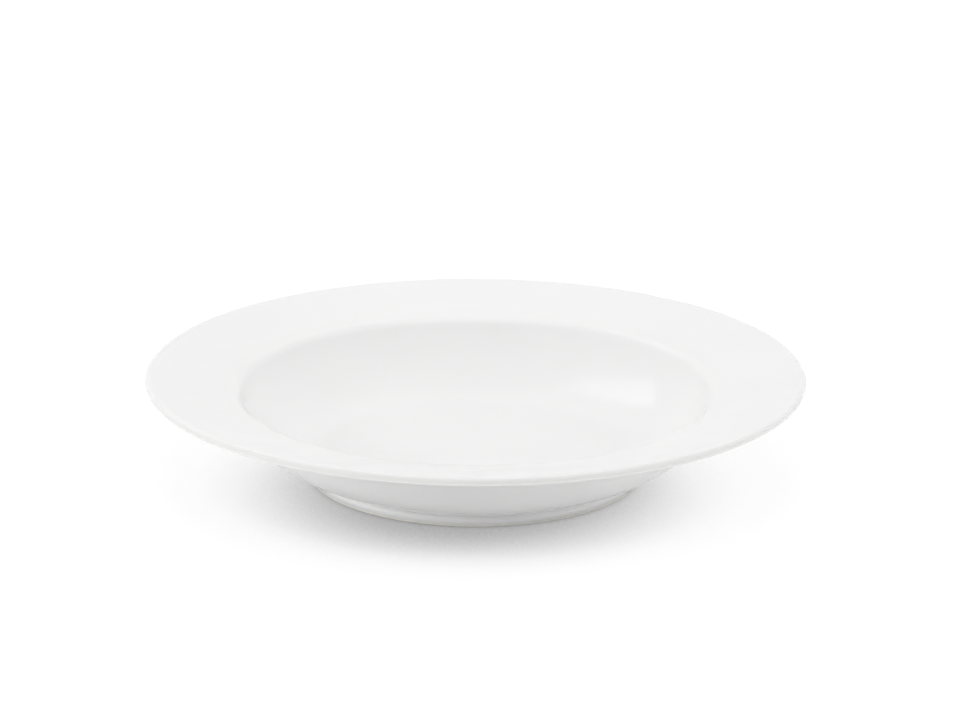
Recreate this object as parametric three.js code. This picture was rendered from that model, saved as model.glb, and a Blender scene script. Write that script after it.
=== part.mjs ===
// A rimmed soup plate of glazed porcelain, in millimetres with +Z up.
// The origin is the centre of the foot's standing face, so the plate stands on z = 0.
// The section is a chain of lines and tangent arcs, turned about the Z axis. One section serves
// the clay and both glaze coats: the clay's surface lies one coat thickness inside the glazed one.

import * as THREE from 'three';

// Overall sizes of the finished plate
const PLATE_DIAMETER = 240;
const PLATE_HEIGHT = 38.5;

// Rim: its slopes are in degrees above level, and its flat runs from the verge to the lip
const RIM_FLAT = 29.7;
const RIM_SLOPE = 11;
const RIM_UNDERSIDE_SLOPE = 13.5;
const LIP_THICKNESS = 3;
const VERGE_RADIUS = 5;
const UNDER_RIM_RADIUS = 7;

// Well and wall: the floor is dished, on a shallow curve that runs out into the well's curve
const FLOOR_CURVE_RADIUS = 700;
const WELL_CURVE_RADIUS = 37;
const WALL_THICKNESS = 4.8;
const FLOOR_THICKNESS = 3.8;

// Foot ring: the overhang runs from the plate's edge in to the foot's outer face
const RIM_OVERHANG = 58.8;
const FOOT_WIDTH = 4.4;
const FOOT_ROOT_RADIUS = 2;
const FOOT_EDGE_RADIUS = 0.6;
const RECESS_DEPTH = 2.8;
const RECESS_CORNER_RADIUS = 1.2;

// Glaze: the foot is wiped bare up to the glaze line
const GLAZE_THICKNESS = 0.3;
const GLAZE_LINE_HEIGHT = 1;

// Finishes
const BARE_CLAY = { color: 0xe4e1da, roughness: 0.75, metalness: 0 };
const FIRED_GLAZE = { color: 0xf2f2f1, roughness: 0.12, metalness: 0 };

// Fineness of the facets
const SIDES = 64;
const ARC_STEP = THREE.MathUtils.degToRad(11);
const SMALL_ARC_STEP = THREE.MathUtils.degToRad(32);
const FLOOR_ARC_STEP = THREE.MathUtils.degToRad(1.5);

// Angles of the section are counted from level outwards, so this one points straight up
const UP = Math.PI / 2;
const rimSlope = THREE.MathUtils.degToRad(RIM_SLOPE);
const undersideSlope = THREE.MathUtils.degToRad(RIM_UNDERSIDE_SLOPE);

// A point of the section: its distance from the axis and its height
function point(radius, height) {
  return new THREE.Vector2(radius, height);
}

// The point at a distance from a centre, in the direction of an angle
function polar(centre, distance, angle) {
  return point(centre.x + distance * Math.cos(angle), centre.y + distance * Math.sin(angle));
}

function angleTo(from, to) {
  return Math.atan2(to.y - from.y, to.x - from.x);
}

// The farther of the two places on a line that lie at a distance from a centre
function meetAtDistance(start, angle, centre, distance) {
  const direction = polar(point(0, 0), 1, angle);
  const along = centre.clone().sub(start).dot(direction);
  const aside = centre.clone().sub(start).cross(direction);
  const reach = Math.sqrt(distance * distance - aside * aside);
  return polar(start, along + reach, angle);
}

// The place that lies at one distance from a first centre and at another from a second one,
// on the left of the way from the first to the second
function meetOfCircles(first, firstRadius, second, secondRadius) {
  const apart = first.distanceTo(second);
  const along = (apart ** 2 + firstRadius ** 2 - secondRadius ** 2) / (2 * apart);
  const aside = Math.sqrt(firstRadius ** 2 - along ** 2);
  const way = angleTo(first, second);
  return polar(polar(first, along, way), aside, way + UP);
}

// Centres of the section's arcs
const edgeRadius = PLATE_DIAMETER / 2;
const footRadius = edgeRadius - RIM_OVERHANG;
const footInnerRadius = footRadius - FOOT_WIDTH;
const lipRadius = LIP_THICKNESS / 2;
const floorHeight = RECESS_DEPTH + FLOOR_THICKNESS;
const wallOuterRadius = WELL_CURVE_RADIUS + WALL_THICKNESS;

const lipCentre = point(edgeRadius - lipRadius, PLATE_HEIGHT - lipRadius);
const rimInnerEnd = polar(polar(lipCentre, lipRadius, UP + rimSlope), -RIM_FLAT, rimSlope);
const vergeCentre = polar(rimInnerEnd, -VERGE_RADIUS, UP + rimSlope);

// The well's curve is tangent to the floor's curve below and to the verge above
const floorCurveCentre = point(0, floorHeight + FLOOR_CURVE_RADIUS);
const wellCentre = meetOfCircles(
  vergeCentre, VERGE_RADIUS + WELL_CURVE_RADIUS,
  floorCurveCentre, FLOOR_CURVE_RADIUS - WELL_CURVE_RADIUS);
const floorEdgeSlope = angleTo(floorCurveCentre, wellCentre) + UP;
const wallSlope = angleTo(wellCentre, vergeCentre) + UP;

const underRimCentre = meetAtDistance(
  polar(lipCentre, -(lipRadius + UNDER_RIM_RADIUS), UP + undersideSlope),
  undersideSlope, wellCentre, wallOuterRadius + UNDER_RIM_RADIUS);
const footRootCentre = meetAtDistance(
  point(footRadius + FOOT_ROOT_RADIUS, wellCentre.y), -UP,
  wellCentre, wallOuterRadius + FOOT_ROOT_RADIUS);
const recessCornerCentre = point(
  footInnerRadius - RECESS_CORNER_RADIUS, RECESS_DEPTH - RECESS_CORNER_RADIUS);

// Points along an arc, both ends included
function arc(centre, radius, startAngle, endAngle, step) {
  const count = Math.ceil(Math.abs(endAngle - startAngle) / step);
  const points = [];
  for (let i = 0; i <= count; i++) {
    points.push(polar(centre, radius, startAngle + (endAngle - startAngle) * i / count));
  }
  return points;
}

// The lip's round edge, with a point at the plate's full height and one at its full width
function lip(radius) {
  return [
    ...arc(lipCentre, radius, rimSlope + UP, UP, SMALL_ARC_STEP),
    ...arc(lipCentre, radius, UP, 0, SMALL_ARC_STEP).slice(1),
    ...arc(lipCentre, radius, 0, undersideSlope - UP, SMALL_ARC_STEP).slice(1),
  ];
}

// The surface under the outer coat, from the middle of the well over the rim and lip and down the
// outside to the glaze line. Depth is how far it lies inside the finished surface.
function outerSurface(depth) {
  const toUnderRim = angleTo(wellCentre, underRimCentre);
  const toFootRoot = angleTo(wellCentre, footRootCentre);
  return [
    ...arc(floorCurveCentre, FLOOR_CURVE_RADIUS + depth, -UP, floorEdgeSlope - UP, FLOOR_ARC_STEP),
    ...arc(wellCentre, WELL_CURVE_RADIUS + depth, floorEdgeSlope - UP, wallSlope - UP,
      ARC_STEP).slice(1),
    ...arc(vergeCentre, VERGE_RADIUS - depth, wallSlope + UP, rimSlope + UP,
      SMALL_ARC_STEP).slice(1),
    ...lip(lipRadius - depth),
    ...arc(underRimCentre, UNDER_RIM_RADIUS + depth, undersideSlope + UP, toUnderRim + Math.PI,
      SMALL_ARC_STEP),
    ...arc(wellCentre, wallOuterRadius - depth, toUnderRim, toFootRoot, ARC_STEP).slice(1),
    ...arc(footRootCentre, FOOT_ROOT_RADIUS + depth, toFootRoot + Math.PI, Math.PI,
      SMALL_ARC_STEP).slice(1),
    point(footRadius - depth, GLAZE_LINE_HEIGHT),
  ];
}

// The surface under the base coat, from the glaze line inside the foot to the middle of the recess
function recessSurface(depth) {
  return [
    point(footInnerRadius + depth, GLAZE_LINE_HEIGHT),
    ...arc(recessCornerCentre, RECESS_CORNER_RADIUS + depth, 0, UP, SMALL_ARC_STEP),
    point(0, RECESS_DEPTH + depth),
  ];
}

// The bare foot, from the outer glaze line across the standing face to the inner one
function standingFace() {
  const outerFace = footRadius - GLAZE_THICKNESS;
  const innerFace = footInnerRadius + GLAZE_THICKNESS;
  return [
    ...arc(point(outerFace - FOOT_EDGE_RADIUS, FOOT_EDGE_RADIUS), FOOT_EDGE_RADIUS,
      0, -UP, SMALL_ARC_STEP),
    ...arc(point(innerFace + FOOT_EDGE_RADIUS, FOOT_EDGE_RADIUS), FOOT_EDGE_RADIUS,
      -UP, -Math.PI, SMALL_ARC_STEP),
  ];
}

// Turns a section, listed from the top of the axis round to its bottom, into a closed solid.
// A lathe turns about Y, so the mesh is tipped up to stand along Z.
function turned(name, section, finish) {
  const geometry = new THREE.LatheGeometry([...section].reverse(), SIDES);
  const mesh = new THREE.Mesh(geometry, new THREE.MeshStandardMaterial(finish));
  mesh.name = name;
  mesh.rotation.x = UP;
  return mesh;
}

function porcelainBody() {
  const section = [
    ...outerSurface(GLAZE_THICKNESS),
    ...standingFace(),
    ...recessSurface(GLAZE_THICKNESS),
  ];
  return turned('porcelain_body', section, BARE_CLAY);
}

function outerGlaze() {
  const section = [
    ...outerSurface(0),
    ...outerSurface(GLAZE_THICKNESS).reverse(),
  ];
  return turned('outer_glaze', section, FIRED_GLAZE);
}

function baseGlaze() {
  const section = [
    ...recessSurface(GLAZE_THICKNESS).reverse(),
    ...recessSurface(0),
  ];
  return turned('base_glaze', section, FIRED_GLAZE);
}

const soupPlate = new THREE.Group();
soupPlate.add(porcelainBody(), outerGlaze(), baseGlaze());

export default soupPlate;
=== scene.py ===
"""A rimmed soup plate of glazed porcelain, on a plain pale floor under soft studio light.

Lengths are in metres and +Z is up. The plate stands on z = 0, round the Z axis. Its section is
a chain of lines and tangent arcs. The clay and its two coats of glaze are all turned from it.
"""

import math

import bmesh
import bpy
from bpy.props import (
    FloatProperty,
    FloatVectorProperty,
    IntProperty,
    PointerProperty,
)
from mathutils import Euler, Matrix, Vector


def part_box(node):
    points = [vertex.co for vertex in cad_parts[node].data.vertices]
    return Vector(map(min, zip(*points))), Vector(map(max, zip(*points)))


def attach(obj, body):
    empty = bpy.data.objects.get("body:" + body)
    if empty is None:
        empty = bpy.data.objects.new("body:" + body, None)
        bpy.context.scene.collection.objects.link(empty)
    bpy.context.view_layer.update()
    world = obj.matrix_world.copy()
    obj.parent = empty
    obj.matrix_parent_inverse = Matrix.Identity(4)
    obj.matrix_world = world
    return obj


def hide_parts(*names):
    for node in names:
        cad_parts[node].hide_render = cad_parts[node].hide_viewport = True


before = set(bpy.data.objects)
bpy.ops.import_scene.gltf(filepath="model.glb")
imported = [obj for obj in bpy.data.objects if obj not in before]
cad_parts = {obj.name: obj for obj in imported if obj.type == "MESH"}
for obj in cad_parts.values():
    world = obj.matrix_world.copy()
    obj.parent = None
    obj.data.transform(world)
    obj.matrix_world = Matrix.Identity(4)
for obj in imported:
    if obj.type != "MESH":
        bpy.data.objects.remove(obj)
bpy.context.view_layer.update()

bl_info = {
    "name": "Soup plate",
    "version": (1, 0, 0),
    "blender": (4, 5, 0),
    "location": "3D View > Sidebar > Soup plate",
    "description": "Turns a glazed porcelain soup plate and sets it in a plain studio",
    "category": "Object",
}

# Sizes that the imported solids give
_, CLAY_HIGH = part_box("porcelain_body")
OUTER_LOW, OUTER_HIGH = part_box("outer_glaze")
_, BASE_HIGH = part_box("base_glaze")
GLAZE_THICKNESS = OUTER_HIGH.z - CLAY_HIGH.z

# A quarter turn, which is straight up in the section
UP = math.pi / 2


def length(label, description, default):
    """A property that holds a length."""
    return FloatProperty(
        name=label,
        description=description,
        default=default,
        min=0.0,
        precision=5,
        subtype="DISTANCE",
        unit="LENGTH",
    )


def slope(label, description, degrees):
    """A property that holds an angle of up to a quarter turn."""
    return FloatProperty(
        name=label,
        description=description,
        default=math.radians(degrees),
        min=0.0,
        max=UP,
        subtype="ANGLE",
        unit="ROTATION",
    )


def share(label, description, default):
    """A property that holds a part of one."""
    return FloatProperty(
        name=label,
        description=description,
        default=default,
        min=0.0,
        max=1.0,
        subtype="FACTOR",
    )


def colour(label, description, default):
    """A property that holds a linear colour."""
    return FloatVectorProperty(
        name=label,
        description=description,
        default=default,
        min=0.0,
        max=1.0,
        size=3,
        subtype="COLOR",
    )


def power(label, description, default):
    """A property that holds a lamp's power in watts."""
    return FloatProperty(
        name=label,
        description=description,
        default=default,
        min=0.0,
        subtype="POWER",
        unit="POWER",
    )


def strength(label, description, default):
    """A property that holds how strongly a surface glows."""
    return FloatProperty(name=label, description=description, default=default, min=0.0)


class SoupPlateSizes(bpy.types.PropertyGroup):
    """Sizes of the plate's section."""

    plate_radius: length(
        "Plate radius", "From the axis to the outside of the lip", OUTER_HIGH.x)
    plate_height: length(
        "Plate height", "From the standing face to the top of the lip", OUTER_HIGH.z)
    rim_flat: length("Rim flat", "Straight part of the rim, from the verge to the lip", 0.0297)
    rim_slope: slope("Rim slope", "Rise of the rim's upper face above level", 11.0)
    underside_slope: slope("Underside slope", "Rise of the rim's underside above level", 13.5)
    lip_thickness: length("Lip thickness", "Thickness of the rim at its rounded lip", 0.003)
    verge_radius: length("Verge radius", "Rounding between the rim and the well", 0.005)
    under_rim_radius: length(
        "Under-rim radius", "Hollow between the rim's underside and the wall", 0.007)
    floor_curve_radius: length(
        "Floor curve radius", "Shallow dish of the well's floor, in section", 0.7)
    well_radius: length("Well curve radius", "Curve of the well's wall, in section", 0.037)
    wall_thickness: length("Wall thickness", "Thickness of the wall round the well", 0.0048)
    floor_thickness: length("Floor thickness", "Thickness in the middle of the base", 0.0038)
    foot_radius: length("Foot radius", "From the axis to the foot's outer face", 0.0612)
    foot_root_radius: length("Foot root radius", "Hollow between the wall and the foot", 0.002)
    foot_edge_radius: length("Foot edge radius", "Rounding of the standing face's edges", 0.0006)
    foot_inner_radius: length(
        "Foot inner radius",
        "From the axis to the foot's inner face",
        BASE_HIGH.x - GLAZE_THICKNESS)
    recess_depth: length(
        "Recess depth",
        "Height of the glazed base above the standing face",
        BASE_HIGH.z - GLAZE_THICKNESS)
    recess_corner_radius: length(
        "Recess corner radius", "Hollow between the foot and the base", 0.0012)
    glaze_thickness: length("Glaze thickness", "Thickness of the fired glaze", GLAZE_THICKNESS)
    glaze_line: length("Glaze line", "Height up to which the foot is wiped bare", OUTER_LOW.z)
    line_wander: length("Glaze line wander", "How far the wiped line strays from level", 0.0002)
    sides: IntProperty(
        name="Sides", description="Number of steps round the axis", default=256, min=16, max=512)


class SoupPlateFinishes(bpy.types.PropertyGroup):
    """Colours and gloss of the plate."""

    glaze_colour: colour("Glaze colour", "White of the glazed clay", (0.86, 0.86, 0.858))
    thin_glaze_colour: colour(
        "Thin glaze colour", "Where the glaze runs thin over an edge", (0.84, 0.836, 0.828))
    # Partly painted light: this whiter colour lifts the shade in the hollows where the glaze pools
    pooled_glaze_and_painted_light_colour: colour(
        "Pooled glaze colour", "Where the glaze gathers in a hollow", (0.9, 0.902, 0.9))
    glaze_roughness: share("Glaze roughness", "Roughness of the fired glaze", 0.1)
    rim_dullness: share("Rim dullness", "How much rougher the worn rim is than the well", 0.14)
    clay_colour: colour("Clay colour", "Off-white of the bare fired clay", (0.9, 0.893, 0.875))
    # Partly painted shade: this grey also darkens the foot's bottom edge as a contact shadow
    rubbed_and_painted_shade_colour: colour("Rubbed colour", "Grey of the rubbed standing face", (0.5, 0.493, 0.475))
    clay_roughness: share("Clay roughness", "Roughness of the bare clay", 0.78)


class SoupPlateStudio(bpy.types.PropertyGroup):
    """Floor and lights."""

    floor_colour: colour("Floor colour", "Plain pale floor", (0.95, 0.95, 0.95))
    floor_light: strength(
        "Floor light", "What the floor adds as light by itself, as a lit table does", 0.09)
    floor_glow: strength(
        "Floor glow", "What brings the floor that the eye sees up to white", 0.89)
    lit_share: share("Lit share", "How much of the lamps' light the eye sees on the floor", 0.15)
    contact_shade: share("Contact shade", "How far the floor darkens close under the plate", 0.87)
    contact_reach: length("Contact reach", "How near the plate must be to darken the floor", 0.033)
    contact_lean: slope("Contact lean", "How far the contact shade falls to the front", 43.0)
    contact_turn: slope(
        "Contact turn", "How far that fall is turned from the front to the left", 8.0)
    line_shade: share("Line shade", "How far the floor darkens where the foot stands on it", 0.45)
    line_reach: length("Line reach", "Width of the dark line where the foot stands", 0.003)
    back_power: power("Back power", "Diffuser above and behind the plate", 1.2)
    top_power: power("Top power", "Diffuser over the plate", 12.9)
    low_back_power: power("Low back power", "Diffuser behind the plate, lower down", 4.3)
    right_power: power("Right power", "Diffuser on the right", 4.4)
    low_left_power: power("Low left power", "Fill near the floor, on the left", 5.1)
    low_right_power: power("Low right power", "Fill near the floor, on the right", 3.7)
    front_left_power: power("Front left power", "Fill in front, on the left", 6.1)
    front_right_power: power("Front right power", "Fill in front, on the right", 3.2)
    softbox_power: power("Softbox power", "Softbox that the glaze mirrors", 1.7)


# Steps along the section, finest where the surface is seen
FINISHED = {"arc_length": 0.0016, "arc_angle": math.radians(5), "line_length": 0.0035}
HIDDEN = {"arc_length": 0.004, "arc_angle": math.radians(18), "line_length": 0.012}

# Ends of the section's stretches that are closer than this are one point
SAME_POINT = 1e-6


class PlateSection:
    """The plate's section: distance from the axis and height, as 2D vectors."""

    def __init__(self, sizes):
        self.sizes = sizes
        lip_radius = sizes.lip_thickness / 2
        self.lip_radius = lip_radius
        floor_height = sizes.recess_depth + sizes.floor_thickness
        self.wall_outer_radius = sizes.well_radius + sizes.wall_thickness
        self.lip_centre = Vector((
            sizes.plate_radius - lip_radius, sizes.plate_height - lip_radius))
        rim_outer_end = polar(self.lip_centre, lip_radius, UP + sizes.rim_slope)
        rim_inner_end = polar(rim_outer_end, -sizes.rim_flat, sizes.rim_slope)
        self.verge_centre = polar(rim_inner_end, -sizes.verge_radius, UP + sizes.rim_slope)

        # The well's curve is tangent to the floor's curve below and to the verge above
        self.floor_curve_centre = Vector((0.0, floor_height + sizes.floor_curve_radius))
        self.well_centre = meet_of_circles(
            self.verge_centre, sizes.verge_radius + sizes.well_radius,
            self.floor_curve_centre, sizes.floor_curve_radius - sizes.well_radius)
        self.floor_edge_slope = angle_to(self.floor_curve_centre, self.well_centre) + UP
        self.wall_slope = angle_to(self.well_centre, self.verge_centre) + UP

        under_rim_start = polar(
            self.lip_centre, -(lip_radius + sizes.under_rim_radius), UP + sizes.underside_slope)
        self.under_rim_centre = meet_at_distance(
            under_rim_start, sizes.underside_slope,
            self.well_centre, self.wall_outer_radius + sizes.under_rim_radius)
        self.foot_root_centre = meet_at_distance(
            Vector((sizes.foot_radius + sizes.foot_root_radius, self.well_centre.y)), -UP,
            self.well_centre, self.wall_outer_radius + sizes.foot_root_radius)

    def outer_surface(self, depth, fineness):
        """From the middle of the well over the rim and lip and down to the glaze line.

        Depth is how far the surface lies inside the finished one.
        """
        sizes = self.sizes
        to_under_rim = angle_to(self.well_centre, self.under_rim_centre)
        to_foot_root = angle_to(self.well_centre, self.foot_root_centre)
        top = UP + sizes.rim_slope
        bottom = sizes.underside_slope - UP
        stretches = [
            arc(self.floor_curve_centre, sizes.floor_curve_radius + depth,
                -UP, self.floor_edge_slope - UP, fineness),
            arc(self.well_centre, sizes.well_radius + depth,
                self.floor_edge_slope - UP, self.wall_slope - UP, fineness),
            arc(self.verge_centre, sizes.verge_radius - depth, self.wall_slope + UP, top, fineness),
            arc(self.lip_centre, self.lip_radius - depth, top, UP, fineness),
            arc(self.lip_centre, self.lip_radius - depth, UP, 0.0, fineness),
            arc(self.lip_centre, self.lip_radius - depth, 0.0, bottom, fineness),
            arc(self.under_rim_centre, sizes.under_rim_radius + depth,
                sizes.underside_slope + UP, to_under_rim + math.pi, fineness),
            arc(self.well_centre, self.wall_outer_radius - depth,
                to_under_rim, to_foot_root, fineness),
            arc(self.foot_root_centre, sizes.foot_root_radius + depth,
                to_foot_root + math.pi, math.pi, fineness),
            [Vector((sizes.foot_radius - depth, sizes.glaze_line))],
        ]
        return chain(stretches, fineness)

    def recess_surface(self, depth, fineness):
        """From the glaze line inside the foot to the middle of the recess."""
        sizes = self.sizes
        corner = sizes.recess_corner_radius
        corner_centre = Vector((sizes.foot_inner_radius - corner, sizes.recess_depth - corner))
        stretches = [
            [Vector((sizes.foot_inner_radius + depth, sizes.glaze_line))],
            arc(corner_centre, corner + depth, 0.0, UP, fineness),
            [Vector((0.0, sizes.recess_depth + depth))],
        ]
        return chain(stretches, fineness)

    def standing_face(self, fineness):
        """The bare foot, from the outer glaze line across to the inner one."""
        sizes = self.sizes
        edge = sizes.foot_edge_radius
        outer_face = sizes.foot_radius - sizes.glaze_thickness
        inner_face = sizes.foot_inner_radius + sizes.glaze_thickness
        stretches = [
            arc(Vector((outer_face - edge, edge)), edge, 0.0, -UP, fineness),
            arc(Vector((inner_face + edge, edge)), edge, -UP, -math.pi, fineness),
        ]
        return chain(stretches, fineness)


def polar(centre, distance, angle):
    """The point at a distance from a centre, in the direction of an angle."""
    return centre + Vector((math.cos(angle), math.sin(angle))) * distance


def angle_to(start, end):
    """The direction from one point of the section to another."""
    return math.atan2(end.y - start.y, end.x - start.x)


def meet_at_distance(start, angle, centre, distance):
    """The farther of the two places on a line that lie at a distance from a centre."""
    direction = Vector((math.cos(angle), math.sin(angle)))
    to_centre = centre - start
    along = to_centre.dot(direction)
    aside = to_centre.x * direction.y - to_centre.y * direction.x
    return start + direction * (along + math.sqrt(distance * distance - aside * aside))


def meet_of_circles(first, first_radius, second, second_radius):
    """The place at one distance from a first centre and at another from a second one.

    Of the two such places, it is the one on the left of the way from the first to the second.
    """
    apart = (second - first).length
    along = (apart ** 2 + first_radius ** 2 - second_radius ** 2) / (2 * apart)
    aside = math.sqrt(first_radius ** 2 - along ** 2)
    way = angle_to(first, second)
    return polar(polar(first, along, way), aside, way + UP)


def arc(centre, radius, start_angle, end_angle, fineness):
    """Points along an arc, both ends included."""
    sweep = end_angle - start_angle
    by_length = abs(sweep) * radius / fineness["arc_length"]
    by_angle = abs(sweep) / fineness["arc_angle"]
    count = math.ceil(max(by_length, by_angle))
    return [polar(centre, radius, start_angle + sweep * i / count) for i in range(count + 1)]


def chain(stretches, fineness):
    """Joins stretches of the section, and divides the straight lines between them."""
    points = list(stretches[0])
    for stretch in stretches[1:]:
        start = points[-1]
        gap = (stretch[0] - start).length
        count = math.ceil(gap / fineness["line_length"])
        for i in range(1, count):
            points.append(start.lerp(stretch[0], i / count))
        points.extend(stretch[1:] if gap < SAME_POINT else stretch)
    return points


# Sockets of the Mix node when it mixes colours
MIX_MASK, MIX_FIRST, MIX_SECOND, MIX_RESULT = 0, 6, 7, 2

# A noise lies round its middle, and most of it between a low and a high value
NOISE_MIDDLE = 0.5
NOISE_LOW, NOISE_HIGH = 0.3, 0.7


def add_node(tree, kind, inputs=None, **settings):
    """Adds a node. An input is either a value or the socket that feeds it."""
    node = tree.nodes.new(kind)
    for name, value in settings.items():
        setattr(node, name, value)
    for key, value in (inputs or {}).items():
        if isinstance(value, bpy.types.NodeSocket):
            tree.links.new(value, node.inputs[key])
        else:
            node.inputs[key].default_value = value
    return node


def math_node(tree, operation, first, second=0.0):
    """Adds a Math node and gives its result."""
    node = add_node(tree, "ShaderNodeMath", {0: first, 1: second}, operation=operation)
    return node.outputs["Value"]


def ramp(tree, value, low, high, low_result=0.0, high_result=1.0):
    """Maps a range smoothly to another one, and holds its ends."""
    inputs = {
        "Value": value,
        "From Min": low,
        "From Max": high,
        "To Min": low_result,
        "To Max": high_result,
    }
    node = add_node(tree, "ShaderNodeMapRange", inputs, interpolation_type="SMOOTHSTEP")
    return node.outputs["Result"]


def mix_colours(tree, mask, first, second):
    """Mixes two colours by a mask."""
    inputs = {MIX_MASK: mask, MIX_FIRST: first, MIX_SECOND: second}
    node = add_node(tree, "ShaderNodeMix", inputs, data_type="RGBA")
    return node.outputs[MIX_RESULT]


def noise_value(tree, place, scale, detail):
    """Adds a Noise Texture and gives its value."""
    inputs = {"Vector": place, "Scale": scale, "Detail": detail}
    return add_node(tree, "ShaderNodeTexNoise", inputs).outputs[0]


def radius_and_height(tree, position):
    """A point's distance from the plate's axis, and its height."""
    parts = add_node(tree, "ShaderNodeSeparateXYZ", {0: position})
    flat = add_node(
        tree, "ShaderNodeCombineXYZ", {"X": parts.outputs["X"], "Y": parts.outputs["Y"]})
    radius = add_node(tree, "ShaderNodeVectorMath", {0: flat.outputs[0]}, operation="LENGTH")
    return radius.outputs["Value"], parts.outputs["Z"]


def new_group(name, kind, inputs, outputs):
    """Starts a node group with named sockets."""
    tree = bpy.data.node_groups.new(name, kind)
    for label, socket_type, default in inputs:
        socket = tree.interface.new_socket(label, in_out="INPUT", socket_type=socket_type)
        if default is not None:
            socket.default_value = default
    for label, socket_type in outputs:
        tree.interface.new_socket(label, in_out="OUTPUT", socket_type=socket_type)
    return tree, add_node(tree, "NodeGroupInput"), add_node(tree, "NodeGroupOutput")


def use_group(tree, group, inputs):
    """Places a shader node group in a material."""
    return add_node(tree, "ShaderNodeGroup", inputs, node_tree=group)


TURNED_SECTION = "Turned section"
WELD_DISTANCE = 2e-7


def turned_section_tree():
    """The Geometry Nodes tree that turns a section, given as a line of points, round the Z axis.

    The wiped glaze line strays a little from level. Points near its height go with it.
    """
    if TURNED_SECTION in bpy.data.node_groups:
        return bpy.data.node_groups[TURNED_SECTION]
    inputs = (
        ("Section", "NodeSocketGeometry", None),
        ("Sides", "NodeSocketInt", 64),
        ("Line height", "NodeSocketFloat", 0.0),
        ("Line reach", "NodeSocketFloat", 0.001),
        ("Line wander", "NodeSocketFloat", 0.0),
        ("Wander seed", "NodeSocketFloat", 0.0),
        ("Finish", "NodeSocketMaterial", None),
    )
    outputs = (("Solid", "NodeSocketGeometry"),)
    tree, given, result = new_group(TURNED_SECTION, "GeometryNodeTree", inputs, outputs)
    tree.is_modifier = True
    sides = given.outputs["Sides"]

    # A grid with one row for each point of the section, and the first side repeated at the end
    points = add_node(
        tree, "GeometryNodeAttributeDomainSize", {"Geometry": given.outputs["Section"]})
    columns = add_node(tree, "FunctionNodeIntegerMath", {0: sides, 1: 1}, operation="ADD")
    grid = add_node(tree, "GeometryNodeMeshGrid", {
        "Vertices X": points.outputs["Point Count"],
        "Vertices Y": columns.outputs[0],
    })
    index = add_node(tree, "GeometryNodeInputIndex")
    row = add_node(
        tree, "FunctionNodeIntegerMath",
        {0: index.outputs[0], 1: columns.outputs[0]}, operation="DIVIDE_FLOOR")
    column = add_node(
        tree, "FunctionNodeIntegerMath",
        {0: index.outputs[0], 1: columns.outputs[0]}, operation="MODULO")

    # Each row takes its distance from the axis and its height from the section
    position = add_node(tree, "GeometryNodeInputPosition")
    sample = add_node(
        tree, "GeometryNodeSampleIndex",
        {
            "Geometry": given.outputs["Section"],
            "Value": position.outputs[0],
            "Index": row.outputs[0],
        },
        data_type="FLOAT_VECTOR", domain="POINT")
    parts = add_node(tree, "ShaderNodeSeparateXYZ", {0: sample.outputs["Value"]})
    radius = parts.outputs["X"]
    height = parts.outputs["Z"]
    turn = math_node(tree, "DIVIDE", column.outputs[0], sides)
    angle = math_node(tree, "MULTIPLY", turn, 2 * math.pi)
    across = math_node(tree, "COSINE", angle)
    along = math_node(tree, "SINE", angle)

    # The glaze line's wander round the foot
    ring = add_node(tree, "ShaderNodeCombineXYZ", {"X": across, "Y": along})
    noise = add_node(
        tree, "ShaderNodeTexNoise",
        {
            "Vector": ring.outputs[0],
            "W": given.outputs["Wander seed"],
            "Scale": 2.6,
            "Detail": 3.0,
        },
        noise_dimensions="4D")
    stray = math_node(tree, "SUBTRACT", noise.outputs[0], NOISE_MIDDLE)
    stray = math_node(tree, "MULTIPLY", stray, given.outputs["Line wander"])
    above = math_node(tree, "SUBTRACT", height, given.outputs["Line height"])
    nearness = ramp(tree, above, 0.0, given.outputs["Line reach"], 1.0, 0.0)
    stray = math_node(tree, "MULTIPLY", stray, nearness)

    placed = add_node(tree, "ShaderNodeCombineXYZ", {
        "X": math_node(tree, "MULTIPLY", radius, across),
        "Y": math_node(tree, "MULTIPLY", radius, along),
        "Z": math_node(tree, "ADD", height, stray),
    })
    moved = add_node(
        tree, "GeometryNodeSetPosition",
        {"Geometry": grid.outputs["Mesh"], "Position": placed.outputs[0]})

    # The seam and the two ends on the axis are closed
    merged = add_node(
        tree, "GeometryNodeMergeByDistance",
        {"Geometry": moved.outputs[0], "Distance": WELD_DISTANCE})
    smooth = add_node(
        tree, "GeometryNodeSetShadeSmooth", {"Geometry": merged.outputs[0], "Shade Smooth": True})
    real = add_node(tree, "GeometryNodeRealizeInstances", {"Geometry": smooth.outputs[0]})
    finished = add_node(
        tree, "GeometryNodeSetMaterial",
        {"Geometry": real.outputs[0], "Material": given.outputs["Finish"]})
    tree.links.new(finished.outputs[0], result.inputs["Solid"])
    return tree


def set_modifier_input(modifier, label, value):
    """Sets a Geometry Nodes input by its socket's identifier."""
    for item in modifier.node_group.interface.items_tree:
        if item.item_type == "SOCKET" and item.in_out == "INPUT" and item.name == label:
            modifier[item.identifier] = value
            return
    raise RuntimeError(f"The tree has no input named {label}")


def turned_piece(context, name, section, finish, values):
    """Turns a closed section, listed from the top of the axis to its bottom, into a solid."""
    outline = bpy.data.meshes.new(name + "_section")
    places = [(point.x, 0.0, point.y) for point in section]
    outline.from_pydata(places, [(i, i + 1) for i in range(len(places) - 1)], [])
    piece = bpy.data.objects.new(name, outline)
    modifier = piece.modifiers.new("Turned", "NODES")
    modifier.node_group = turned_section_tree()
    set_modifier_input(modifier, "Finish", finish)
    for label, value in values.items():
        set_modifier_input(modifier, label, value)
    context.scene.collection.objects.link(piece)

    depsgraph = context.evaluated_depsgraph_get()
    solid = bpy.data.meshes.new_from_object(piece.evaluated_get(depsgraph), depsgraph=depsgraph)
    piece.modifiers.clear()
    piece.data = solid
    solid.name = name
    bpy.data.meshes.remove(outline)
    check_solid(solid)
    return piece


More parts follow.
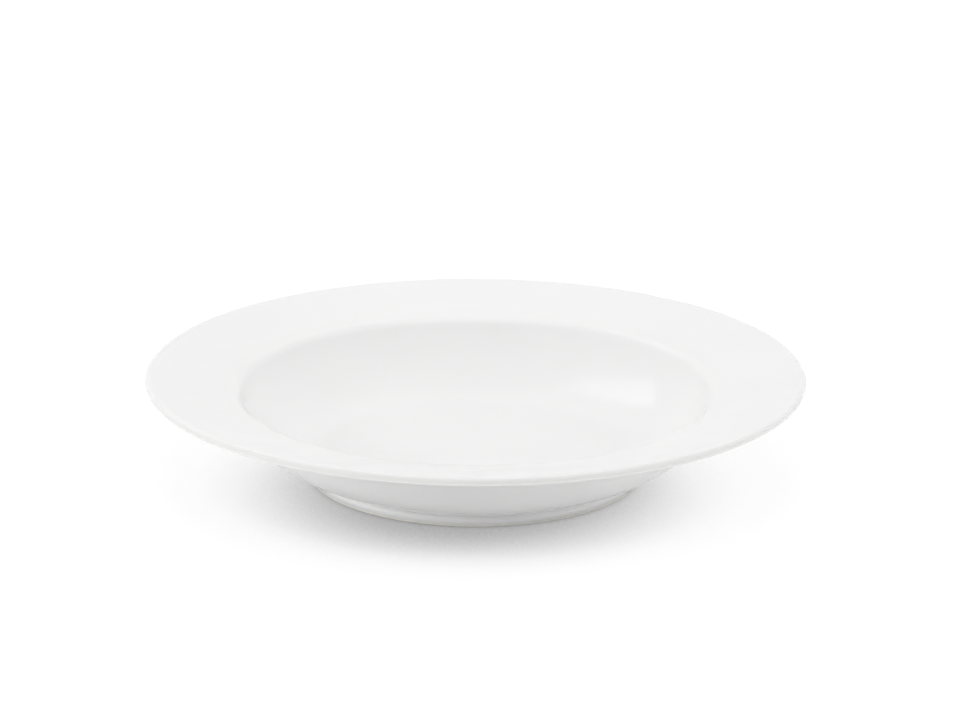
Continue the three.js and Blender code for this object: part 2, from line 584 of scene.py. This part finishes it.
def check_solid(mesh):
    """Stops the script if a mesh isn't closed, or is inside out."""
    shell = bmesh.new()
    shell.from_mesh(mesh)
    is_open = any(not edge.is_manifold for edge in shell.edges)
    volume = shell.calc_volume(signed=True)
    shell.free()
    if is_open or volume <= 0.0:
        raise RuntimeError(f"{mesh.name} isn't a closed solid with its faces outwards")


TURNING_MARKS = "Turning marks"
KILN_SPECKS = "Kiln specks"


def turning_marks_group():
    """Fine rings that the turning tool leaves, uneven along their way round."""
    if TURNING_MARKS in bpy.data.node_groups:
        return bpy.data.node_groups[TURNING_MARKS]
    inputs = (
        ("Position", "NodeSocketVector", None),
        ("Rings per metre", "NodeSocketFloat", 300.0),
        ("Unevenness", "NodeSocketFloat", 0.3),
    )
    outputs = (("Height", "NodeSocketFloat"),)
    tree, given, result = new_group(TURNING_MARKS, "ShaderNodeTree", inputs, outputs)
    position = given.outputs["Position"]
    density = given.outputs["Rings per metre"]
    radius, height = radius_and_height(tree, position)
    drift = noise_value(tree, position, scale=9.0, detail=1.0)
    ring = add_node(tree, "ShaderNodeCombineXYZ", {
        "X": math_node(tree, "MULTIPLY", radius, density),
        "Y": math_node(tree, "MULTIPLY", height, density),
        "Z": math_node(tree, "MULTIPLY", drift, given.outputs["Unevenness"]),
    })
    marks = noise_value(tree, ring.outputs[0], scale=1.0, detail=2.0)
    tree.links.new(marks, result.inputs["Height"])
    return tree


def kiln_specks_group():
    """Scattered pinhead specks, such as fired clay and glaze have. The mask is 1 on a speck."""
    if KILN_SPECKS in bpy.data.node_groups:
        return bpy.data.node_groups[KILN_SPECKS]
    inputs = (
        ("Position", "NodeSocketVector", None),
        ("Cells per metre", "NodeSocketFloat", 60.0),
        ("Share of cells", "NodeSocketFloat", 0.1),
        ("Speck size", "NodeSocketFloat", 0.02),
    )
    outputs = (("Mask", "NodeSocketFloat"),)
    tree, given, result = new_group(KILN_SPECKS, "ShaderNodeTree", inputs, outputs)
    cells = add_node(
        tree, "ShaderNodeTexVoronoi",
        {"Vector": given.outputs["Position"], "Scale": given.outputs["Cells per metre"]})
    chance = add_node(tree, "ShaderNodeSeparateColor", {0: cells.outputs["Color"]})
    chosen = math_node(
        tree, "LESS_THAN", chance.outputs["Red"], given.outputs["Share of cells"])
    reach = math_node(tree, "MULTIPLY", given.outputs["Speck size"], chance.outputs["Green"])
    inside = ramp(tree, cells.outputs["Distance"], reach, 0.0)
    mask = math_node(tree, "MULTIPLY", inside, chosen)
    tree.links.new(mask, result.inputs["Mask"])
    return tree


def start_material(name):
    """A new material, its Principled shader, and the piece's own coordinates."""
    material = bpy.data.materials.new(name)
    material.use_nodes = True
    tree = material.node_tree
    shader = tree.nodes["Principled BSDF"]
    position = add_node(tree, "ShaderNodeTexCoord").outputs["Object"]
    return material, tree, shader, position


def near_ring(tree, radius, height, ring, reach):
    """1 on a ring round the plate's axis, and 0 from a reach away from it."""
    place = add_node(tree, "ShaderNodeCombineXYZ", {"X": radius, "Y": height})
    away = add_node(
        tree, "ShaderNodeVectorMath", {0: place.outputs[0], 1: (ring.x, ring.y, 0.0)},
        operation="DISTANCE")
    return ramp(tree, away.outputs["Value"], reach, 0.0)


def rgba(colour_value):
    """A colour property with full alpha."""
    return (*colour_value, 1.0)


# Share of the fine texture in a surface's relief. The turning marks have the rest
FINE_SHARE = 0.6


def shade_base_colour(tree, shader, base, first_shade, second_shade):
    """Gives the shader a base colour that two shades darken or lighten."""
    shade = math_node(tree, "MULTIPLY", first_shade, second_shade)
    shaded = add_node(tree, "ShaderNodeVectorMath", {0: base, 1: shade}, operation="MULTIPLY")
    tree.links.new(shaded.outputs["Vector"], shader.inputs["Base Color"])


def add_relief(tree, shader, fine, marks, amount, depth):
    """Bends the shader's normal by a fine texture and by turning marks."""
    height = math_node(
        tree, "ADD",
        math_node(tree, "MULTIPLY", fine, FINE_SHARE),
        math_node(tree, "MULTIPLY", marks, 1.0 - FINE_SHARE))
    bump = add_node(
        tree, "ShaderNodeBump", {"Strength": amount, "Distance": depth, "Height": height})
    tree.links.new(bump.outputs["Normal"], shader.inputs["Normal"])


# The fired glaze: where it is thin, where it pools and carries painted light, and how its colour
# and gloss vary
FIRED_GLAZE = "fired_glaze"
THIN_VERGE_REACH = 0.005
THIN_VERGE_RISE = 0.004
THIN_VERGE_SHARE = 0.2
ROOT_POOL_AND_PAINTED_LIGHT_DIRECTION = math.radians(35)
ROOT_POOL_AND_PAINTED_LIGHT_REACH = 0.006
CORNER_POOL_AND_PAINTED_LIGHT_REACH = 0.004
GLAZE_CLOUD_SHADE = 0.988
GLAZE_SPECK_SHADE = 0.9
GLOSS_SPREAD = 0.15
GLAZE_RELIEF_AMOUNT = 1.0
GLAZE_RELIEF_DEPTH = 0.00001
GLAZE_IOR = 1.38

# The duller rim: it fades in from inside the verge, and from below the verge's centre to above it
DULL_INSIDE_VERGE = 0.003
DULL_FADE = 0.004
DULL_BELOW = 0.004
DULL_ABOVE = 0.002


def fired_glaze(context):
    """White glass over clay: glossy, faintly uneven, thin on the edges, and pooled in hollows,
    where its whiter colour is partly painted light.
    """
    if FIRED_GLAZE in bpy.data.materials:
        return bpy.data.materials[FIRED_GLAZE]
    finishes = context.scene.soup_plate_finishes
    section = PlateSection(context.scene.soup_plate_sizes)
    sizes = section.sizes
    verge = section.verge_centre
    material, tree, shader, position = start_material(FIRED_GLAZE)
    radius, height = radius_and_height(tree, position)

    # The glaze draws back from the lip and from the verge
    thin_lip = ramp(tree, radius, section.lip_centre.x, sizes.plate_radius)
    verge_away = math_node(tree, "ABSOLUTE", math_node(tree, "SUBTRACT", radius, verge.x))
    thin_verge = math_node(
        tree, "MULTIPLY",
        ramp(tree, verge_away, THIN_VERGE_REACH, 0.0),
        ramp(tree, height, verge.y, verge.y + THIN_VERGE_RISE))
    thin_verge = math_node(tree, "MULTIPLY", thin_verge, THIN_VERGE_SHARE)
    thin = math_node(tree, "MAXIMUM", thin_lip, thin_verge)

    # It gathers at the root of the foot and in the corner of the recess. Its whiter colour there is
    # partly painted light, which lifts the shade of these hollows
    root = polar(section.foot_root_centre, -sizes.foot_root_radius, ROOT_POOL_AND_PAINTED_LIGHT_DIRECTION)
    corner = Vector((sizes.foot_inner_radius, sizes.recess_depth))
    pooled_and_painted_light = math_node(
        tree, "MAXIMUM",
        near_ring(tree, radius, height, root, ROOT_POOL_AND_PAINTED_LIGHT_REACH),
        near_ring(tree, radius, height, corner, CORNER_POOL_AND_PAINTED_LIGHT_REACH))
    base = mix_colours(
        tree, thin, rgba(finishes.glaze_colour), rgba(finishes.thin_glaze_colour))
    base = mix_colours(tree, pooled_and_painted_light, base, rgba(finishes.pooled_glaze_and_painted_light_colour))

    # Its white is faintly cloudy, with a few specks
    cloud = noise_value(tree, position, scale=21.0, detail=3.0)
    cloud_shade = ramp(tree, cloud, NOISE_LOW, NOISE_HIGH, GLAZE_CLOUD_SHADE, 1.0)
    specks = use_group(tree, kiln_specks_group(), {
        "Position": position,
        "Cells per metre": 46.0,
        "Share of cells": 0.12,
        "Speck size": 0.016,
    })
    speck_shade = ramp(tree, specks.outputs["Mask"], 0.0, 1.0, 1.0, GLAZE_SPECK_SHADE)
    shade_base_colour(tree, shader, base, cloud_shade, speck_shade)

    # Gloss varies with the thickness of the glass, and the rim is duller from wear
    film = noise_value(tree, position, scale=64.0, detail=2.0)
    gloss = ramp(
        tree, film, NOISE_LOW, NOISE_HIGH,
        finishes.glaze_roughness * (1.0 - GLOSS_SPREAD),
        finishes.glaze_roughness * (1.0 + GLOSS_SPREAD))
    dull_start = verge.x - sizes.verge_radius - DULL_INSIDE_VERGE
    on_rim = math_node(
        tree, "MULTIPLY",
        ramp(tree, radius, dull_start, dull_start + DULL_FADE),
        ramp(tree, height, verge.y - DULL_BELOW, verge.y + DULL_ABOVE))
    duller = math_node(tree, "MULTIPLY", on_rim, finishes.rim_dullness)
    gloss = math_node(tree, "ADD", gloss, duller)
    tree.links.new(gloss, shader.inputs["Roughness"])

    # The glass settles in a faint ripple, over what is left of the turning marks
    ripple = noise_value(tree, position, scale=150.0, detail=1.0)
    rings = use_group(tree, turning_marks_group(), {
        "Position": position,
        "Rings per metre": 130.0,
        "Unevenness": 0.5,
    })
    add_relief(
        tree, shader, ripple, rings.outputs["Height"], GLAZE_RELIEF_AMOUNT, GLAZE_RELIEF_DEPTH)
    shader.inputs["IOR"].default_value = GLAZE_IOR
    return material


# The bare clay: its grain and specks, and where the standing face is rubbed and greyed, partly as
# painted contact shade
BARE_CLAY = "bare_clay"
GRAIN_LOW, GRAIN_HIGH = 0.25, 0.75
GRAIN_DARK, GRAIN_LIGHT = 0.95, 1.03
CLAY_SPECK_SHADE = 0.72
LEAST_RUBBED = 0.5
RUBBED_AND_SHADE_TOP, RUBBED_AND_SHADE_FULL = 0.0005, 0.0001
RUBBED_SMOOTHER = 0.2
CLAY_RELIEF_AMOUNT = 0.6
CLAY_RELIEF_DEPTH = 0.00008


def bare_clay(context):
    """Fired clay without glaze: matt, fine-grained, and grey where it stands, from wear and partly
    as painted contact shade.
    """
    if BARE_CLAY in bpy.data.materials:
        return bpy.data.materials[BARE_CLAY]
    finishes = context.scene.soup_plate_finishes
    material, tree, shader, position = start_material(BARE_CLAY)
    _, height = radius_and_height(tree, position)

    # The standing face and its edges are rubbed, more in some patches than in others. Their grey is
    # partly painted shade, a contact shadow along the foot's bottom edge
    patches = noise_value(tree, position, scale=70.0, detail=4.0)
    rubbed_and_painted_shade = math_node(
        tree, "MULTIPLY",
        ramp(tree, patches, NOISE_LOW, NOISE_HIGH, LEAST_RUBBED, 1.0),
        ramp(tree, height, RUBBED_AND_SHADE_TOP, RUBBED_AND_SHADE_FULL))
    base = mix_colours(
        tree, rubbed_and_painted_shade, rgba(finishes.clay_colour), rgba(finishes.rubbed_and_painted_shade_colour))

    # Its colour is grainy and specked
    grain = noise_value(tree, position, scale=2200.0, detail=3.0)
    grain_shade = ramp(tree, grain, GRAIN_LOW, GRAIN_HIGH, GRAIN_DARK, GRAIN_LIGHT)
    specks = use_group(tree, kiln_specks_group(), {
        "Position": position,
        "Cells per metre": 400.0,
        "Share of cells": 0.12,
        "Speck size": 0.12,
    })
    speck_shade = ramp(tree, specks.outputs["Mask"], 0.0, 1.0, 1.0, CLAY_SPECK_SHADE)
    shade_base_colour(tree, shader, base, grain_shade, speck_shade)

    # It is smoother where it is rubbed, and keeps its grain and turning marks
    smoothest = finishes.clay_roughness - RUBBED_SMOOTHER
    rough = ramp(tree, rubbed_and_painted_shade, 0.0, 1.0, finishes.clay_roughness, smoothest)
    tree.links.new(rough, shader.inputs["Roughness"])
    rings = use_group(tree, turning_marks_group(), {
        "Position": position,
        "Rings per metre": 2600.0,
        "Unevenness": 2.0,
    })
    add_relief(
        tree, shader, grain, rings.outputs["Height"], CLAY_RELIEF_AMOUNT, CLAY_RELIEF_DEPTH)
    return material


# How far above the glaze line its wander is felt, and each coat's own wander
GLAZE_LINE_REACH = 0.0012
OUTER_LINE_SEED = 3.0
BASE_LINE_SEED = 8.0


def line_values(sizes, wander, seed):
    """The turned tree's inputs for a piece that ends at a glaze line."""
    return {
        "Sides": sizes.sides,
        "Line height": sizes.glaze_line,
        "Line reach": GLAZE_LINE_REACH,
        "Line wander": wander,
        "Wander seed": seed,
    }


class SOUP_PLATE_OT_clay_body(bpy.types.Operator):
    """Turn the fired clay that carries both coats of glaze"""

    bl_idname = "soup_plate.clay_body"
    bl_label = "Clay body"

    def execute(self, context):
        sizes = context.scene.soup_plate_sizes
        plate = PlateSection(sizes)
        section = (
            plate.outer_surface(sizes.glaze_thickness, HIDDEN)
            + plate.standing_face(FINISHED)
            + plate.recess_surface(sizes.glaze_thickness, HIDDEN))
        piece = turned_piece(
            context, "clay_body", section, bare_clay(context),
            line_values(sizes, wander=0.0, seed=0.0))
        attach(piece, "root")
        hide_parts("porcelain_body")
        return {"FINISHED"}


class SOUP_PLATE_OT_outer_glaze_coat(bpy.types.Operator):
    """Turn the coat of glaze over the well, the rim and the outside"""

    bl_idname = "soup_plate.outer_glaze_coat"
    bl_label = "Outer glaze coat"

    def execute(self, context):
        sizes = context.scene.soup_plate_sizes
        plate = PlateSection(sizes)
        under = plate.outer_surface(sizes.glaze_thickness, HIDDEN)
        section = plate.outer_surface(0.0, FINISHED) + under[::-1]
        piece = turned_piece(
            context, "outer_glaze_coat", section, fired_glaze(context),
            line_values(sizes, sizes.line_wander, OUTER_LINE_SEED))
        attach(piece, "root")
        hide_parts("outer_glaze")
        return {"FINISHED"}


class SOUP_PLATE_OT_base_glaze_coat(bpy.types.Operator):
    """Turn the coat of glaze inside the foot ring"""

    bl_idname = "soup_plate.base_glaze_coat"
    bl_label = "Base glaze coat"

    def execute(self, context):
        sizes = context.scene.soup_plate_sizes
        plate = PlateSection(sizes)
        over = plate.recess_surface(sizes.glaze_thickness, HIDDEN)
        section = over[::-1] + plate.recess_surface(0.0, FINISHED)
        piece = turned_piece(
            context, "base_glaze_coat", section, fired_glaze(context),
            line_values(sizes, sizes.line_wander, BASE_LINE_SEED))
        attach(piece, "root")
        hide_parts("base_glaze")
        return {"FINISHED"}


# Camera: it looks down at the plate from the front, far enough off for a mild perspective
CAMERA_ELEVATION = math.radians(18.3093)
CAMERA_DISTANCE = 1.5
CAMERA_TARGET_HEIGHT = 0.02
CAMERA_ROLL = math.radians(0.258)
CAMERA_AIM_RIGHT = 0.001532
CAMERA_AIM_UP = 0.02159
CAMERA_LENS = 153.885
CAMERA_SENSOR = 36.0
CAMERA_CLIP = (0.01, 50.0)

# Floor: to the eye it glows fully far from the plate, and less near it, where the lamps light it
FLOOR_SIZE = 8.0
GLOW_NEAR = 0.3
GLOW_FAR = 1.5
CONTACT_STEEPNESS = 3.0
LINE_STEEPNESS = 2.0
OCCLUSION_SAMPLES = 8
WHITE = (1.0, 1.0, 1.0, 1.0)

# Lamps: name, azimuth, elevation, width and height, the property with the power, and whether the
# glaze mirrors it. Azimuth is in degrees from the plate's right, towards its back
LAMP_DISTANCE = 1.5
LAMPS = (
    ("back_diffuser", 100, 62, (1.2, 0.8), "back_power", False),
    ("top_diffuser", 270, 86, (1.0, 1.0), "top_power", False),
    ("low_back_diffuser", 92, 40, (1.4, 0.6), "low_back_power", False),
    ("right_diffuser", 5, 30, (1.4, 1.0), "right_power", False),
    ("low_left_fill", 190, 12, (1.2, 0.4), "low_left_power", False),
    ("low_right_fill", 350, 12, (1.2, 0.4), "low_right_power", False),
    ("front_left_fill", 222, 23, (1.0, 0.25), "front_left_power", False),
    ("front_right_fill", 318, 23, (1.0, 0.25), "front_right_power", False),
    ("softbox", 134, 46, (0.65, 0.75), "softbox_power", True),
)


def seen_by_eye(tree):
    """1 for rays from the camera, and for those mirrored or seen through glass; 0 for others."""
    path = add_node(tree, "ShaderNodeLightPath")
    mirrored = math_node(
        tree, "MAXIMUM", path.outputs["Is Camera Ray"], path.outputs["Is Glossy Ray"])
    return math_node(tree, "MAXIMUM", mirrored, path.outputs["Is Transmission Ray"])


def close_to_plate(tree, way, reach, steepness):
    """1 where the plate closes off all that a floor point looks out to, and 0 where it is open.

    Way is the middle of that outlook, and reach is how far it goes.
    """
    openness = add_node(
        tree, "ShaderNodeAmbientOcclusion", {"Distance": reach, "Normal": way},
        samples=OCCLUSION_SAMPLES)
    closed = math_node(tree, "SUBTRACT", 1.0, openness.outputs["AO"])
    return math_node(tree, "POWER", closed, steepness)


def left_over(tree, mask, amount):
    """What is left of the light where a mask takes an amount of it away."""
    return math_node(tree, "SUBTRACT", 1.0, math_node(tree, "MULTIPLY", mask, amount))


def make_floor(context, studio):
    """A plain pale floor that shows white where the plate doesn't shade it."""
    half = FLOOR_SIZE / 2
    corners = [(-half, -half, 0.0), (half, -half, 0.0), (half, half, 0.0), (-half, half, 0.0)]
    mesh = bpy.data.meshes.new("studio_floor")
    mesh.from_pydata(corners, [], [(0, 1, 2, 3)])
    floor = bpy.data.objects.new("studio_floor", mesh)
    context.scene.collection.objects.link(floor)
    material, tree, shader, position = start_material("pale_floor")
    eye = seen_by_eye(tree)

    # To the eye, the floor is darker where the plate is close above it or close behind
    aside = math.sin(studio.contact_lean)
    way = add_node(tree, "ShaderNodeCombineXYZ", {
        "X": aside * math.sin(studio.contact_turn),
        "Y": aside * math.cos(studio.contact_turn),
        "Z": math.cos(studio.contact_lean),
    }).outputs[0]
    near = close_to_plate(tree, way, studio.contact_reach, CONTACT_STEEPNESS)
    touching = close_to_plate(tree, way, studio.line_reach, LINE_STEEPNESS)
    shade = math_node(
        tree, "MULTIPLY",
        left_over(tree, near, studio.contact_shade),
        left_over(tree, touching, studio.line_shade))
    lit = ramp(
        tree, eye, 0.0, 1.0, 1.0, math_node(tree, "MULTIPLY", shade, studio.lit_share))
    tint = add_node(
        tree, "ShaderNodeVectorMath", {0: tuple(studio.floor_colour), 1: lit},
        operation="MULTIPLY")
    tree.links.new(tint.outputs["Vector"], shader.inputs["Base Color"])
    shader.inputs["Roughness"].default_value = 1.0
    shader.inputs["Specular IOR Level"].default_value = 0.0
    shader.inputs["Emission Color"].default_value = WHITE

    # Far from the plate, where the lamps reach the floor less, it glows more
    radius, _ = radius_and_height(tree, position)
    full_glow = ramp(tree, radius, GLOW_NEAR, GLOW_FAR, studio.floor_glow, 1.0)
    glow = ramp(
        tree, eye, 0.0, 1.0,
        studio.floor_light, math_node(tree, "MULTIPLY", shade, full_glow))
    tree.links.new(glow, shader.inputs["Emission Strength"])
    mesh.materials.append(material)


def make_world(context):
    """An even surround that is white to the eye and gives no light."""
    world = bpy.data.worlds.new("studio_surround")
    world.use_nodes = True
    context.scene.world = world
    tree = world.node_tree
    background = tree.nodes["Background"]
    background.inputs["Color"].default_value = WHITE
    tree.links.new(seen_by_eye(tree), background.inputs["Strength"])


def make_lamp(context, name, azimuth, elevation, size, watts, mirrored):
    """A rectangular soft lamp that faces the middle of the plate."""
    lamp = bpy.data.lights.new(name, "AREA")
    lamp.shape = "RECTANGLE"
    lamp.size, lamp.size_y = size
    lamp.energy = watts
    holder = bpy.data.objects.new(name, lamp)
    turn = Euler((0.0, -math.radians(elevation), math.radians(azimuth)))
    towards = Vector((1.0, 0.0, 0.0))
    towards.rotate(turn)
    holder.location = Vector((0.0, 0.0, CAMERA_TARGET_HEIGHT)) + towards * LAMP_DISTANCE
    holder.rotation_euler = towards.to_track_quat("Z", "Y").to_euler()
    holder.visible_glossy = mirrored
    holder.visible_camera = False
    context.scene.collection.objects.link(holder)


def make_camera(context):
    """A camera at the photograph's viewing angle, with no shift."""
    back = Vector((0.0, -math.cos(CAMERA_ELEVATION), math.sin(CAMERA_ELEVATION)))
    right = Vector((1.0, 0.0, 0.0))
    up = back.cross(right)
    target = Vector((0.0, 0.0, CAMERA_TARGET_HEIGHT))
    eye = target + back * CAMERA_DISTANCE
    aim = target + right * CAMERA_AIM_RIGHT + up * CAMERA_AIM_UP
    axis_z = (eye - aim).normalized()
    axis_x = axis_z.cross(right).cross(axis_z).normalized()
    axis_y = axis_z.cross(axis_x)
    turn = Matrix((axis_x, axis_y, axis_z)).transposed().to_4x4()
    lens = bpy.data.cameras.new("camera")
    lens.lens = CAMERA_LENS
    lens.sensor_width = CAMERA_SENSOR
    lens.clip_start, lens.clip_end = CAMERA_CLIP
    camera = bpy.data.objects.new("camera", lens)
    roll = Matrix.Rotation(CAMERA_ROLL, 4, "Z")
    camera.matrix_world = Matrix.Translation(eye) @ turn @ roll
    context.scene.collection.objects.link(camera)
    context.scene.camera = camera


class SOUP_PLATE_OT_studio(bpy.types.Operator):
    """Lay the floor, and set up the surround, the lamps and the camera"""

    bl_idname = "soup_plate.studio"
    bl_label = "Studio"

    def execute(self, context):
        studio = context.scene.soup_plate_studio
        context.scene.view_settings.view_transform = "Standard"
        make_floor(context, studio)
        make_world(context)
        for name, azimuth, elevation, size, power_name, mirrored in LAMPS:
            watts = getattr(studio, power_name)
            make_lamp(context, name, azimuth, elevation, size, watts, mirrored)
        make_camera(context)
        return {"FINISHED"}


OPERATORS = (
    SOUP_PLATE_OT_clay_body,
    SOUP_PLATE_OT_outer_glaze_coat,
    SOUP_PLATE_OT_base_glaze_coat,
    SOUP_PLATE_OT_studio,
)


class SOUP_PLATE_PT_sidebar(bpy.types.Panel):
    """Lists the operators, and the settings of the plate and the studio"""

    bl_idname = "SOUP_PLATE_PT_sidebar"
    bl_label = "Soup plate"
    bl_space_type = "VIEW_3D"
    bl_region_type = "UI"
    bl_category = "Soup plate"

    def draw(self, context):
        layout = self.layout
        for operator in OPERATORS:
            layout.operator(operator.bl_idname)
        for group_name, _ in GROUPS:
            settings = getattr(context.scene, group_name)
            column = layout.column()
            for name in settings.bl_rna.properties.keys():
                if name not in ("rna_type", "name"):
                    column.prop(settings, name)


GROUPS = (
    ("soup_plate_sizes", SoupPlateSizes),
    ("soup_plate_finishes", SoupPlateFinishes),
    ("soup_plate_studio", SoupPlateStudio),
)
CLASSES = (*(group for _, group in GROUPS), *OPERATORS, SOUP_PLATE_PT_sidebar)


def register():
    """Adds the classes, and the settings to the scene."""
    for each in CLASSES:
        bpy.utils.register_class(each)
    for name, group in GROUPS:
        setattr(bpy.types.Scene, name, PointerProperty(type=group))


def unregister():
    """Takes away what register adds."""
    for name, _ in GROUPS:
        delattr(bpy.types.Scene, name)
    for each in reversed(CLASSES):
        bpy.utils.unregister_class(each)


def main():
    """Makes the plate and its studio."""
    register()
    bpy.ops.soup_plate.clay_body()
    bpy.ops.soup_plate.outer_glaze_coat()
    bpy.ops.soup_plate.base_glaze_coat()
    bpy.ops.soup_plate.studio()


if __name__ == "__main__":
    main()
